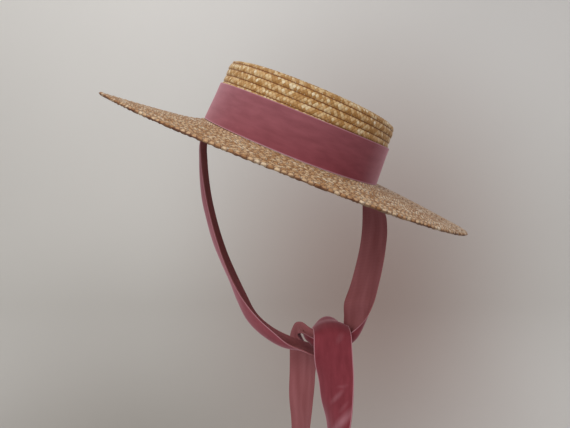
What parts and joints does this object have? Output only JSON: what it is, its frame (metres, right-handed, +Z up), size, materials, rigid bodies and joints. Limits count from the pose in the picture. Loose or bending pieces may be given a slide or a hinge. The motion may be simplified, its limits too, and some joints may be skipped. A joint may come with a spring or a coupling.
{
  "type": "boater hat",
  "caption": "Straw boater hat as worn, with a low flat crown, a wide brim, a velvet ribbon band and ribbon ties crossed under the chin.",
  "frame": {"origin": "centre of the head opening at the crown's foot, where the wearer's head goes in", "axes": "+Z up as worn, against gravity, +X to the picture's right and +Y away from the camera. The hat is tipped 22 degrees down to +X and 5 degrees down to -Y"},
  "size_m": [0.3343, 0.3766, 0.3815],
  "materials": {
    "crown_straw": "golden plaited straw, slightly glossy",
    "brim_straw": "tan plaited straw with darker flecks",
    "band_velvet": "dusty rose velvet",
    "tie_left_velvet": "dusty rose velvet",
    "tie_right_velvet": "dusty rose velvet"
  },
  "bodies": {
    "root": {"crown": "crown_straw", "brim": "brim_straw", "hat_band": "band_velvet", "tie_left": "tie_left_velvet", "tie_right": "tie_right_velvet"}
  },
  "joints": []
}
